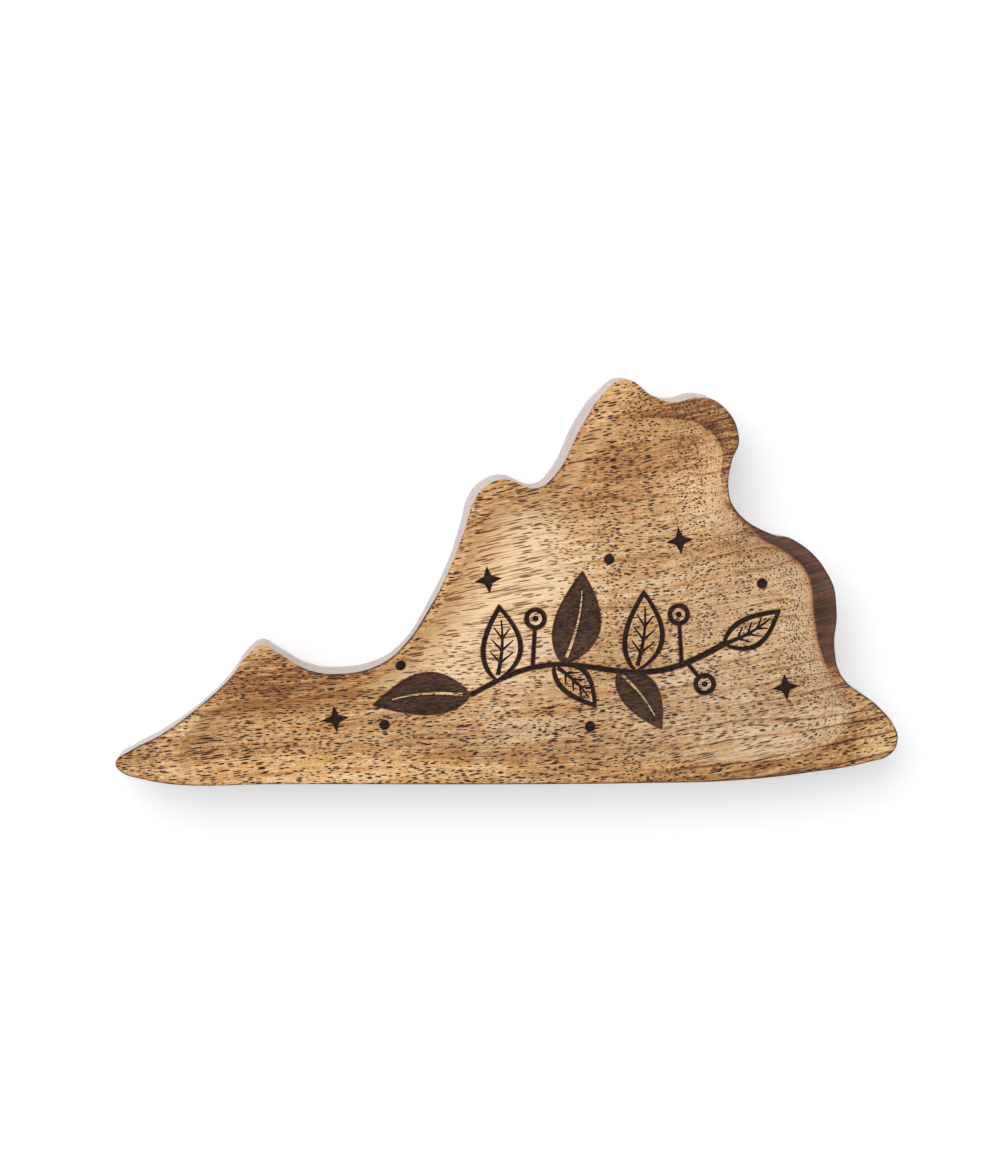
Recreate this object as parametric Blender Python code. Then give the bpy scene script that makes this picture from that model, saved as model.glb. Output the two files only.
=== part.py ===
"""A shallow wooden trinket dish: one board cut to a map-like outline, with a basin routed into its top.

X runs along the straight long side, Y towards the tallest peak, and Z up. The origin is on the
underside, below the middle of the outline.
"""

import bmesh
import bpy
import numpy as np
from mathutils import Vector
from mathutils.geometry import delaunay_2d_cdt

MM = 0.001

# Driving dimensions, in millimetres.
LENGTH = 127.0
FLOOR_THICKNESS = 8.7
BASIN_DEPTH = 4.0
COVE_REACH = 6.5
EDGE_EASE = 0.6

THICKNESS = FLOOR_THICKNESS + BASIN_DEPTH

# The cove is an arc that ends level with the flat floor.
COVE_RADIUS = (COVE_REACH**2 + BASIN_DEPTH**2) / (2 * BASIN_DEPTH)

# How finely the curves and the cove are divided.
CURVE_STEPS = 5
EASE_STEPS = 1
EDGE_SPACING = 2.0
COVE_STEPS = 5
RING_GAP = 0.6
FILL_GAP = 1.5
CUTTER_RISE = 2.0
CRISP_ANGLE = 40.0

# The outline and the basin's upper edge are drawn on a sheet where the dish has this length.
DRAWN_LENGTH = 127.0

# Points on the dish's outline, going clockwise from its west tip.
OUTLINE = (
    (-63.5, -29.0), (-61.1, -27.0), (-56.3, -24.5), (-49.9, -19.8), (-45.0, -15.3),
    (-41.8, -11.2), (-39.9, -10.0), (-37.3, -11.3), (-32.5, -14.0), (-27.8, -14.7),
    (-20.9, -13.2), (-17.1, -10.2), (-12.6, -3.6), (-9.8, 1.8), (-7.2, 8.6),
    (-5.4, 13.7), (-3.6, 15.7), (-1.1, 16.7), (4.5, 15.3), (7.4, 17.4),
    (11.8, 25.5), (15.0, 30.3), (18.6, 32.8), (23.4, 30.0), (26.4, 29.1),
    (30.7, 29.9), (34.2, 28.8), (37.2, 23.1), (36.1, 19.8), (35.5, 15.8),
    (36.5, 12.1), (42.9, 7.7), (45.8, 7.1), (52.2, 0.6), (53.3, -4.8),
    (53.0, -10.7), (54.2, -15.3), (60.2, -20.3), (62.8, -23.4), (63.5, -25.7),
    (62.4, -28.1), (58.9, -29.4), (49.1, -31.1), (36.0, -32.4), (22.9, -32.7),
    (-1.0, -32.8), (-40.0, -32.6), (-52.0, -32.7), (-59.0, -31.7), (-62.8, -30.3),
)

# Points on the basin's upper edge, which is a smoother line inside the outline.
BASIN_EDGE = (
    (-53.2, -27.7), (-51.6, -24.0), (-46.6, -19.8), (-40.0, -18.9), (-33.8, -18.5),
    (-28.5, -17.5), (-22.5, -16.0), (-18.6, -13.6), (-14.6, -9.2), (-10.6, -3.3),
    (-8.8, 0.8), (-4.7, 8.5), (-2.5, 11.8), (3.9, 13.9), (7.6, 15.5),
    (10.8, 21.2), (13.6, 24.8), (17.0, 26.1), (28.0, 26.4), (31.7, 25.1),
    (34.2, 22.2), (34.4, 15.8), (36.4, 10.2), (45.4, 4.6), (48.4, 1.6),
    (49.7, -5.8), (50.5, -10.2), (53.0, -16.3), (55.7, -21.8), (52.9, -26.1),
    (47.4, -28.4), (39.2, -29.1), (14.8, -29.0), (-9.6, -29.6), (-25.7, -30.8),
    (-50.5, -31.0), (-52.8, -29.8),
)


def clear_scene():
    """Remove everything the scene starts with."""
    for existing in list(bpy.data.objects):
        bpy.data.objects.remove(existing, do_unlink=True)


def new_collection(name):
    """Make a collection in the scene."""
    collection = bpy.data.collections.new(name)
    bpy.context.scene.collection.children.link(collection)
    return collection


def closed_curve(name, points):
    """Make a flat closed curve that runs smoothly through the drawn points."""
    scale = LENGTH / DRAWN_LENGTH * MM
    curve = bpy.data.curves.new(name, "CURVE")
    curve.dimensions = "2D"
    curve.resolution_u = CURVE_STEPS
    spline = curve.splines.new("BEZIER")
    spline.bezier_points.add(len(points) - 1)
    for knot, (x, y) in zip(spline.bezier_points, points):
        knot.co = (x * scale, y * scale, 0.0)
        knot.handle_left_type = "AUTO"
        knot.handle_right_type = "AUTO"
    spline.use_cyclic_u = True
    return curve


def mesh_of_curve(curve, collection):
    """Turn a curve into a mesh, with any caps joined to the walls."""
    holder = bpy.data.objects.new(curve.name, curve)
    collection.objects.link(holder)
    graph = bpy.context.evaluated_depsgraph_get()
    mesh = bpy.data.meshes.new_from_object(holder.evaluated_get(graph))
    bpy.data.objects.remove(holder, do_unlink=True)
    joined = bmesh.new()
    joined.from_mesh(mesh)
    bmesh.ops.remove_doubles(joined, verts=joined.verts, dist=0.00001)
    bmesh.ops.recalc_face_normals(joined, faces=joined.faces)
    joined.to_mesh(mesh)
    joined.free()
    return mesh


def board(collection):
    """Make the sawn board with eased edges, before the basin is cut."""
    curve = closed_curve("dish_board", OUTLINE)
    curve.fill_mode = "BOTH"
    curve.extrude = (THICKNESS / 2 - EDGE_EASE) * MM
    curve.bevel_depth = EDGE_EASE * MM
    curve.offset = -EDGE_EASE * MM
    curve.bevel_resolution = EASE_STEPS
    mesh = mesh_of_curve(curve, collection)
    for vertex in mesh.vertices:
        vertex.co.z += THICKNESS / 2 * MM
    body = bpy.data.objects.new("dish_body", mesh)
    collection.objects.link(body)
    return body


def edge_line(collection):
    """Give evenly spaced points along the basin's upper edge, in order, as an array in metres."""
    curve = closed_curve("basin_edge", BASIN_EDGE)
    curve.fill_mode = "NONE"
    mesh = mesh_of_curve(curve, collection)
    line = np.array([vertex.co[:2] for vertex in mesh.vertices])
    line = np.append(line, line[:1], axis=0)
    steps = np.hypot(*np.diff(line, axis=0).T)
    travelled = np.append(0.0, np.cumsum(steps))
    count = round(travelled[-1] / (EDGE_SPACING * MM))
    stops = np.linspace(0.0, travelled[-1], count, endpoint=False)
    return np.stack([np.interp(stops, travelled, line[:, axis]) for axis in (0, 1)], axis=1)


def inward_normals(line):
    """Give the unit normals of a closed line that point to its inside."""
    ahead = np.roll(line, -1, axis=0) - np.roll(line, 1, axis=0)
    area = np.sum(line[:, 0] * np.roll(line[:, 1], -1) - np.roll(line[:, 0], -1) * line[:, 1])
    turned = np.stack([-ahead[:, 1], ahead[:, 0]], axis=1) * np.sign(area)
    return turned / np.linalg.norm(turned, axis=1)[:, None]


def distance_in(point, line):
    """Give how far a point is inside a closed line, or a negative distance if it is outside."""
    pieces = np.roll(line, -1, axis=0) - line
    along = np.sum((point - line) * pieces, axis=1) / np.sum(pieces**2, axis=1)
    nearest = line + pieces * np.clip(along, 0.0, 1.0)[:, None]
    distance = np.sqrt(np.min(np.sum((point - nearest) ** 2, axis=1)))
    ends = line + pieces
    spans = (line[:, 1] > point[1]) != (ends[:, 1] > point[1])
    slope = pieces[spans, 0] / pieces[spans, 1]
    crossings = line[spans, 0] + (point[1] - line[spans, 1]) * slope
    inside = np.count_nonzero(crossings > point[0]) % 2 == 1
    return distance if inside else -distance


def cove_depth(reach):
    """Give the depth at a distance in from the basin's edge: the cove's arc, then the flat floor."""
    left = np.clip(COVE_REACH - reach / MM, 0.0, COVE_REACH)
    rise = COVE_RADIUS - np.sqrt(COVE_RADIUS**2 - left**2)
    return (BASIN_DEPTH - rise) * MM


def cove_points(edge):
    """Choose points on the cove: rings that follow the edge, and a grid where rings leave room."""
    chosen = []

    def offer(point, least_reach, least_gap):
        if distance_in(point, edge) < least_reach:
            return
        gaps = [np.hypot(*(point - other)) for other in chosen]
        if not gaps or min(gaps) > least_gap:
            chosen.append(point)

    inward = inward_normals(edge)
    steepest = np.arcsin(COVE_REACH / COVE_RADIUS)
    for angle in np.linspace(steepest, 0.0, COVE_STEPS + 1)[1:]:
        reach = (COVE_REACH - COVE_RADIUS * np.sin(angle)) * MM
        for start, normal in zip(edge, inward):
            offer(start + normal * reach, 0.97 * reach, RING_GAP * MM)
    spacing = FILL_GAP * MM
    low = np.floor(edge.min(axis=0) / spacing)
    high = np.ceil(edge.max(axis=0) / spacing)
    for column in np.arange(low[0], high[0]):
        for row in np.arange(low[1], high[1]):
            point = np.array([column, row]) * spacing
            if distance_in(point, edge) < COVE_REACH * MM:
                offer(point, spacing, spacing)
    return chosen


def basin_cutter(collection):
    """Make the solid that the router removes: coved walls round a flat floor, open above the rim."""
    edge = edge_line(collection)
    border = [(i, (i + 1) % len(edge)) for i in range(len(edge))]
    points = [Vector(point) for point in [*edge, *cove_points(edge)]]
    flat, _, faces, *_ = delaunay_2d_cdt(points, border, [], 1, 0.0000001)
    count = len(flat)
    lower = []
    upper = []
    for index, point in enumerate(flat):
        depth = 0.0 if index < len(edge) else cove_depth(distance_in(np.array(point), edge))
        lower.append((point.x, point.y, THICKNESS * MM - depth))
        upper.append((point.x, point.y, (THICKNESS + CUTTER_RISE) * MM))
    lids = [[i + count for i in face] for face in faces]
    walls = [(i, j, j + count, i + count) for i, j in border]
    mesh = bpy.data.meshes.new("basin_cutter")
    mesh.from_pydata(lower + upper, [], [*faces, *lids, *walls])
    closed = bmesh.new()
    closed.from_mesh(mesh)
    bmesh.ops.recalc_face_normals(closed, faces=closed.faces)
    closed.to_mesh(mesh)
    closed.free()
    cutter = bpy.data.objects.new("basin_cutter", mesh)
    cutter.hide_render = True
    cutter.display_type = "WIRE"
    collection.objects.link(cutter)
    return cutter


def cut_basin(body, cutter):
    """Cut the basin, then shade the body smooth, with a crisp line only where faces meet steeply."""
    cut = body.modifiers.new("basin", "BOOLEAN")
    cut.operation = "DIFFERENCE"
    cut.solver = "EXACT"
    cut.object = cutter
    graph = bpy.context.evaluated_depsgraph_get()
    mesh = bpy.data.meshes.new_from_object(body.evaluated_get(graph))
    body.modifiers.clear()
    body.data = mesh
    mesh.shade_smooth()
    mesh.set_sharp_from_angle(angle=np.radians(CRISP_ANGLE))


def wood_material():
    """Make the oiled hardwood."""
    material = bpy.data.materials.new("oiled_wood")
    material.use_nodes = True
    surface = material.node_tree.nodes["Principled BSDF"]
    surface.inputs["Base Color"].default_value = (0.47, 0.27, 0.12, 1.0)
    surface.inputs["Roughness"].default_value = 0.55
    return material


def main():
    clear_scene()
    pieces = new_collection("trinket_dish")
    helpers = new_collection("cutters")
    helpers.hide_render = True
    body = board(pieces)
    cut_basin(body, basin_cutter(helpers))
    body.data.materials.append(wood_material())


main()
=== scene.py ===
"""A shallow wooden trinket dish on a pale studio floor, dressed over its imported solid.

Shapes are drawn in millimetres, in the dish's own frame: X along the straight long side, Y towards
the tallest peak, Z up. They turn into metres as the mesh and the lamps are made.
"""

import bmesh
import bpy
import numpy as np
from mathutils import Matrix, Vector
from mathutils.geometry import delaunay_2d_cdt


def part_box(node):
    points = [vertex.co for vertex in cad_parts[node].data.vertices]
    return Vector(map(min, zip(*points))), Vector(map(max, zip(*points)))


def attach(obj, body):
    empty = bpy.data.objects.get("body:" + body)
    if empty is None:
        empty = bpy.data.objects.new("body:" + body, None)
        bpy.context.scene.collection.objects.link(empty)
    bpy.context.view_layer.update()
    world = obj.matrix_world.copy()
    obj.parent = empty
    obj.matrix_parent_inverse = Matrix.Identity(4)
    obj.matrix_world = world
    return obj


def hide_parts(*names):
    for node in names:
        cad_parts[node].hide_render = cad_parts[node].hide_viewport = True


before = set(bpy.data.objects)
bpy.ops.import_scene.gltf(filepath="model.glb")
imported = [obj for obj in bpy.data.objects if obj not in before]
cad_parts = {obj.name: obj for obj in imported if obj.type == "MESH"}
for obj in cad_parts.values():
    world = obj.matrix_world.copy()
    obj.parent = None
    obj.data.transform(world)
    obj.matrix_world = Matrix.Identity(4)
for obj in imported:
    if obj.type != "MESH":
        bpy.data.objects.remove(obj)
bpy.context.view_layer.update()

MM = 0.001

# Sizes of the dish, in millimetres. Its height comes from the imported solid.
solid_low, solid_high = (np.array(corner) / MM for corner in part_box("dish_body"))
TOP = float(solid_high[2])
FLOOR = 8.7
BASIN_DEPTH = TOP - FLOOR
COVE_REACH = 6.5
COVE_RADIUS = (COVE_REACH**2 + BASIN_DEPTH**2) / (2.0 * BASIN_DEPTH)
OUTER_EASE = 0.6
EDGE_SOFTNESS = 0.3
BURN_DEPTH = 0.35
SEAR_WIDTH = 0.14

# Points on the dish's outline, going clockwise from its west tip.
OUTLINE = (
    (-63.5, -29.0), (-61.1, -27.0), (-56.3, -24.5), (-49.9, -19.8), (-45.0, -15.3),
    (-41.8, -11.2), (-39.9, -10.0), (-37.3, -11.3), (-32.5, -14.0), (-27.8, -14.7),
    (-20.9, -13.2), (-17.1, -10.2), (-12.6, -3.6), (-9.8, 1.8), (-7.2, 8.6),
    (-5.4, 13.7), (-3.6, 15.7), (-1.1, 16.7), (4.5, 15.3), (7.4, 17.4),
    (11.8, 25.5), (15.0, 30.3), (18.6, 32.8), (23.4, 30.0), (26.4, 29.1),
    (30.7, 29.9), (34.2, 28.8), (37.2, 23.1), (36.1, 19.8), (35.5, 15.8),
    (36.5, 12.1), (42.9, 7.7), (45.8, 7.1), (52.2, 0.6), (53.3, -4.8),
    (53.0, -10.7), (54.2, -15.3), (60.2, -20.3), (62.8, -23.4), (63.5, -25.7),
    (62.4, -28.1), (58.9, -29.4), (49.1, -31.1), (36.0, -32.4), (22.9, -32.7),
    (-1.0, -32.8), (-40.0, -32.6), (-52.0, -32.7), (-59.0, -31.7), (-62.8, -30.3),
)

# Points on the basin's upper edge, which is a smoother line inside the outline.
BASIN_EDGE = (
    (-53.2, -27.7), (-51.6, -24.0), (-46.6, -19.8), (-40.0, -18.9), (-33.8, -18.5),
    (-28.5, -17.5), (-22.5, -16.0), (-18.6, -13.6), (-14.6, -9.2), (-10.6, -3.3),
    (-8.8, 0.8), (-4.7, 8.5), (-2.5, 11.8), (3.9, 13.9), (7.6, 15.5),
    (10.8, 21.2), (13.6, 24.8), (17.0, 26.1), (28.0, 26.4), (31.7, 25.1),
    (34.2, 22.2), (34.4, 15.8), (36.4, 10.2), (45.4, 4.6), (48.4, 1.6),
    (49.7, -5.8), (50.5, -10.2), (53.0, -16.3), (55.7, -21.8), (52.9, -26.1),
    (47.4, -28.4), (39.2, -29.1), (14.8, -29.0), (-9.6, -29.6), (-25.7, -30.8),
    (-50.5, -31.0), (-52.8, -29.8),
)

# Where the walls aren't upright: a centre, how far it reaches, and how far the foot stands out.
WALL_LEANS = (
    ((-50.0, -20.0), 8.0, -0.5), ((-61.5, -27.0), 6.0, -0.45), ((-5.5, 13.5), 6.0, 0.5),
    ((9.5, 21.5), 6.0, 0.45), ((12.5, 27.5), 4.5, 0.35), ((29.0, 29.5), 5.0, 0.5),
    ((-28.0, -14.5), 9.0, 0.05), ((-17.0, -10.0), 7.0, -0.45), ((42.0, 8.5), 6.0, -0.55),
)

# How finely the dish is divided, in millimetres and counts.
LINE_STEPS = 24
LINE_SPACING = 0.5
EASE_STEPS = 4
EDGE_RINGS = (-0.5, -0.3, -0.15, 0.0, 0.12, 0.28, 0.5, 0.75, 1.05)
COVE_SPACING = 0.5
PLAIN_SPACING = 1.5
POINT_GAP = 0.3
CDT_GAP = 0.00001
CRISP_ANGLE = 40.0

# Which of the dish's finishes a face has. The burnt ones are sunk into the wood.
WOOD, CHARRED, SCORCHED, SEARED = range(4)
SUNK = (CHARRED, SCORCHED)


# Flat lines

def drawn_line(points):
    """Give evenly spaced points on the smooth closed line through the drawn points."""
    curve = bpy.data.curves.new("drawn_line", "CURVE")
    curve.dimensions = "2D"
    curve.fill_mode = "NONE"
    curve.resolution_u = LINE_STEPS
    spline = curve.splines.new("BEZIER")
    spline.bezier_points.add(len(points) - 1)
    for knot, (x, y) in zip(spline.bezier_points, points):
        knot.co = (x, y, 0.0)
        knot.handle_left_type = "AUTO"
        knot.handle_right_type = "AUTO"
    spline.use_cyclic_u = True
    holder = bpy.data.objects.new("drawn_line", curve)
    bpy.context.scene.collection.objects.link(holder)
    graph = bpy.context.evaluated_depsgraph_get()
    mesh = bpy.data.meshes.new_from_object(holder.evaluated_get(graph))
    line = np.array([vertex.co[:2] for vertex in mesh.vertices])
    bpy.data.objects.remove(holder, do_unlink=True)
    bpy.data.meshes.remove(mesh)
    line = np.append(line, line[:1], axis=0)
    travelled = np.append(0.0, np.cumsum(np.hypot(*np.diff(line, axis=0).T)))
    count = round(travelled[-1] / LINE_SPACING)
    stops = np.linspace(0.0, travelled[-1], count, endpoint=False)
    return np.stack([np.interp(stops, travelled, line[:, axis]) for axis in (0, 1)], axis=1)


def moved_in(line, distance):
    """Move a closed line's points towards its inside, by one distance or by one for each point."""
    ahead = np.roll(line, -1, axis=0) - np.roll(line, 1, axis=0)
    area = np.sum(line[:, 0] * np.roll(line[:, 1], -1) - np.roll(line[:, 0], -1) * line[:, 1])
    turned = np.stack([-ahead[:, 1], ahead[:, 0]], axis=1) * np.sign(area)
    return line + np.reshape(distance, (-1, 1)) * turned / np.linalg.norm(turned, axis=1)[:, None]


def reach_in(point, line):
    """Give how far a point is inside a closed line, or a negative distance if it is outside."""
    pieces = np.roll(line, -1, axis=0) - line
    along = np.sum((point - line) * pieces, axis=1) / np.sum(pieces**2, axis=1)
    nearest = line + pieces * np.clip(along, 0.0, 1.0)[:, None]
    distance = np.sqrt(np.min(np.sum((point - nearest) ** 2, axis=1)))
    ends = line + pieces
    spans = (line[:, 1] > point[1]) != (ends[:, 1] > point[1])
    slope = pieces[spans, 0] / pieces[spans, 1]
    crossings = line[spans, 0] + (point[1] - line[spans, 1]) * slope
    inside = np.count_nonzero(crossings > point[0]) % 2 == 1
    return distance if inside else -distance


# Burnt decoration: a leafy sprig with berries, four-pointed sparks and dots

STROKE = 0.8
FINE_STROKE = 0.45
STEM_WIDTHS = (0.7, 0.9)
STALK_WIDTHS = (0.6, 0.5)
BERRY_RADII = (1.8, 1.05, 0.5)
SPARK_REACH = 2.2
SPARK_WAIST = 0.38
SPARK_TURN = 0.12
SPARK_CORNERS = 8
DOT_RADIUS = 0.8
CIRCLE_STEPS = 28
LEAF_STEPS = 20
LEAF_TRIALS = 200
MIDRIB_STEPS = 14
VEIN_STEPS = 5
STALK_STEPS = 6
STEM_STEPS = 60

# A leaf's shape: how its width swells and fades, its bend, and the least half width it keeps.
LEAF_SWELL = 0.8
LEAF_FULLNESS = 0.92
LEAF_BEND = 0.06
LEAST_HALF = 0.02

# Its midrib and side veins, by shares of its length and of their own width.
MIDRIB_SPAN = (0.08, 0.8)
MIDRIB_THINNING = 0.35
FILLED_MIDRIB = 0.5
OPEN_MIDRIB = 0.75
VEIN_STARTS = (0.24, 0.4, 0.56)
VEIN_CLIMB = 0.14
VEIN_REACH = 0.55
VEIN_THINNING = 0.45

# The sprig's stem goes from its start over a span, and sways once to each side.
SPRIG_START = (-6.0, -18.6)
SPRIG_SPAN = (42.0, 8.6)
SPRIG_SWAY = 2.4
HEADING_STEP = 0.01

# Leaves on the stem: share of its length, lean from it, length, width, and whether it is filled.
SPRIG_LEAVES = (
    (0.0, 156.0, 16.0, 7.0, True), (0.1, 62.0, 12.5, 6.8, False),
    (0.36, 80.0, 15.5, 7.6, True), (0.32, -48.0, 10.0, 5.2, False),
    (0.64, 86.0, 13.5, 6.8, False), (0.57, -46.0, 12.0, 6.0, True),
    (0.98, 2.0, 11.0, 5.4, False),
)

# Berries on the stem: share of its length, lean from it, and length of the stalk.
SPRIG_BERRIES = ((0.24, 74.0, 8.0), (0.82, 74.0, 8.2), (0.84, -72.0, 4.6))

LOOSE_SPARKS = ((-28.0, -22.4), (-3.2, 0.2), (28.0, 6.5), (45.5, -17.5))
LOOSE_DOTS = ((-17.5, -13.4), (-20.0, -23.4), (16.5, 3.5), (41.5, -0.5), (13.5, -23.8))


def circle(centre, radius):
    """Give a circle's points, anticlockwise."""
    turns = np.linspace(0.0, 2.0 * np.pi, CIRCLE_STEPS, endpoint=False)
    return np.array(centre) + radius * np.stack([np.cos(turns), np.sin(turns)], axis=1)


def spark(centre, reach):
    """Give a four-pointed spark with drawn-in sides."""
    turns = np.linspace(0.0, 2.0 * np.pi, SPARK_CORNERS, endpoint=False) + SPARK_TURN
    radii = np.where(np.arange(SPARK_CORNERS) % 2 == 0, reach, SPARK_WAIST * reach)
    return np.array(centre) + np.stack([np.cos(turns), np.sin(turns)], axis=1) * radii[:, None]


def stroke(line, start_width, end_width):
    """Give the border of a stroke that follows a line and changes width evenly."""
    line = np.asarray(line, float)
    ahead = np.gradient(line, axis=0)
    side = np.stack([-ahead[:, 1], ahead[:, 0]], axis=1) / np.linalg.norm(ahead, axis=1)[:, None]
    half = np.linspace(start_width, end_width, len(line))[:, None] / 2.0
    return np.concatenate([line - side * half, (line + side * half)[::-1]])


class Leaf:
    """A pointed leaf, from its base towards a heading, with a slight bend."""

    def __init__(self, base, heading, length, width, bend):
        self.base = np.array(base)
        self.along = np.array([np.cos(np.radians(heading)), np.sin(np.radians(heading))])
        self.side = np.array([-self.along[1], self.along[0]])
        self.length = length
        self.width = width
        self.bend = bend

    def middle(self, share):
        """Give the point on the midrib at a share of the length."""
        sway = self.bend * self.length * np.sin(np.pi * share)
        return self.base + self.along * self.length * share + self.side * sway

    def half(self, share):
        """Give half the width at a share of the length."""
        return self.width / 2.0 * np.sin(np.pi * share**LEAF_SWELL) ** LEAF_FULLNESS

    def border(self, inset=0.0):
        """Give the leaf's border, or a line inside it by an inset."""
        wide = [s for s in np.linspace(0.0, 1.0, LEAF_TRIALS) if self.half(s) >= inset]
        shares = np.linspace(wide[0], wide[-1], LEAF_STEPS)
        reaches = [self.side * max(self.half(s) - inset, LEAST_HALF) for s in shares]
        right = [self.middle(s) - reach for s, reach in zip(shares, reaches)]
        left = [self.middle(s) + reach for s, reach in zip(shares, reaches)]
        return np.array(right + left[::-1])

    def midrib(self, width):
        """Give the midrib as a stroke that thins towards the tip."""
        shares = np.linspace(*MIDRIB_SPAN, MIDRIB_STEPS)
        return stroke([self.middle(share) for share in shares], width, MIDRIB_THINNING * width)

    def veins(self, width):
        """Give the side veins as short strokes that lean to the tip."""
        found = []
        for share in VEIN_STARTS:
            start = self.middle(share)
            end_share = share + VEIN_CLIMB
            for hand in (-1.0, 1.0):
                end = self.middle(end_share) + hand * self.side * VEIN_REACH * self.half(end_share)
                line = [start + (end - start) * step for step in np.linspace(0.0, 1.0, VEIN_STEPS)]
                found.append(stroke(line, width, VEIN_THINNING * width))
        return found


def sprig_point(share):
    """Give the point on the sprig's stem at a share of its length."""
    x = SPRIG_START[0] + SPRIG_SPAN[0] * share
    y = SPRIG_START[1] + SPRIG_SPAN[1] * share + SPRIG_SWAY * np.sin(2.0 * np.pi * share)
    return np.array([x, y])


def sprig_heading(share):
    """Give the stem's heading in degrees at a share of its length."""
    step = sprig_point(share + HEADING_STEP) - sprig_point(share - HEADING_STEP)
    return np.degrees(np.arctan2(step[1], step[0]))


def leaf_layers(leaf, filled):
    """Give a leaf's layers: burnt all over but for its midrib, or an outline with veins."""
    if filled:
        return [(leaf.border(), SCORCHED), (leaf.midrib(FILLED_MIDRIB), WOOD)]
    layers = [(leaf.border(), CHARRED), (leaf.border(STROKE), WOOD)]
    layers.append((leaf.midrib(OPEN_MIDRIB), CHARRED))
    layers.extend((vein, CHARRED) for vein in leaf.veins(FINE_STROKE))
    return layers


def berry_layers(base, turn, length):
    """Give a berry's layers: its stalk, a ring and a dot."""
    tip = base + length * np.array([np.cos(turn), np.sin(turn)])
    stalk = [base + (tip - base) * step for step in np.linspace(0.0, 1.0, STALK_STEPS)]
    rings = [circle(tip, radius) for radius in BERRY_RADII]
    return [(stroke(stalk, *STALK_WIDTHS), CHARRED), *zip(rings, (CHARRED, WOOD, CHARRED))]


def burnt_shapes():
    """Give the decoration as layers: each has a border and the finish inside it."""
    layers = []
    for share, lean, length in SPRIG_BERRIES:
        turn = np.radians(sprig_heading(share) + lean)
        layers.extend(berry_layers(sprig_point(share), turn, length))
    for share, lean, length, width, filled in SPRIG_LEAVES:
        heading = sprig_heading(share) + lean
        leaf = Leaf(sprig_point(share), heading, length, width, -LEAF_BEND * np.sign(lean))
        layers.extend(leaf_layers(leaf, filled))
    stem = [sprig_point(share) for share in np.linspace(0.0, 1.0, STEM_STEPS)]
    layers.append((stroke(stem, *STEM_WIDTHS), CHARRED))
    layers.extend((spark(centre, SPARK_REACH), CHARRED) for centre in LOOSE_SPARKS)
    layers.extend((circle(centre, DOT_RADIUS), CHARRED) for centre in LOOSE_DOTS)
    fringes = [(moved_in(border, -SEAR_WIDTH), SEARED) for border, kind in layers if kind in SUNK]
    return fringes + layers


# The dish's mesh

class Skin:
    """Gathers the dish's corners, in millimetres, and its faces with their finishes."""

    def __init__(self):
        self.corners = []
        self.edge_runs = []
        self.basin_reaches = []
        self.faces = []
        self.finishes = []

    def corner(self, x, y, height, edge_run, basin_reach):
        """Add a corner, with its run from the outer edge and its reach into the basin."""
        self.corners.append((x, y, height))
        self.edge_runs.append(edge_run)
        self.basin_reaches.append(basin_reach)
        return len(self.corners) - 1

    def face(self, indices, finish):
        """Add a face."""
        self.faces.append(indices)
        self.finishes.append(finish)

    def band(self, first, second):
        """Join two rings of corners with a band of faces."""
        for i, j in zip(range(len(first)), np.roll(range(len(first)), -1)):
            self.face((first[i], first[j], second[j], second[i]), WOOD)


def basin_drop(reach):
    """Give how far the surface is below the rim: the cove's arc, then the floor, with a soft edge."""
    edge_slope = COVE_REACH / (COVE_RADIUS - BASIN_DEPTH)
    left = min(max(COVE_REACH - reach, 0.0), COVE_REACH)
    fall = BASIN_DEPTH - COVE_RADIUS + np.sqrt(COVE_RADIUS**2 - left**2)
    fall = fall + edge_slope * min(reach, 0.0)
    return (fall + np.hypot(fall, EDGE_SOFTNESS)) / 2.0


def wall_lean(outline):
    """Give how far the wall's foot stands out from its top, for each point of the outline."""
    lean = np.zeros(len(outline))
    for centre, reach, amount in WALL_LEANS:
        away = np.linalg.norm(outline - np.array(centre), axis=1) / reach
        lean += amount * np.exp(-away**2)
    return lean


def side_rings(skin, outline):
    """Add the eased lower edge, the wall and the eased upper edge, and give the rings upwards."""
    lean = wall_lean(outline)
    angles = np.linspace(0.0, np.pi / 2.0, EASE_STEPS + 1)
    upper = [(OUTER_EASE * (1.0 - np.cos(angle)), OUTER_EASE * (1.0 - np.sin(angle)),
              OUTER_EASE * angle) for angle in angles]
    profile = [(inset, drop, run) for inset, drop, run in reversed(upper)]
    profile.append((0.0, TOP / 2.0, OUTER_EASE - TOP / 2.0))
    profile.extend((inset, TOP - drop, run) for inset, drop, run in upper)
    rings = []
    for inset, height, run in profile:
        line = moved_in(outline, inset - lean * (1.0 - height / TOP))
        rings.append([skin.corner(x, y, height, run, -OUTER_EASE) for x, y in line])
    for lower, higher in zip(rings, rings[1:]):
        skin.band(lower, higher)
    return rings


def underside(skin, ring):
    """Close the flat underside."""
    points = [Vector(skin.corners[i][:2]) for i in ring]
    border = [(i, (i + 1) % len(ring)) for i in range(len(ring))]
    _, _, faces, origins, *_ = delaunay_2d_cdt(points, border, [], 1, CDT_GAP)
    for face in faces:
        skin.face([ring[origins[i][0]] for i in face], WOOD)


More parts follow.
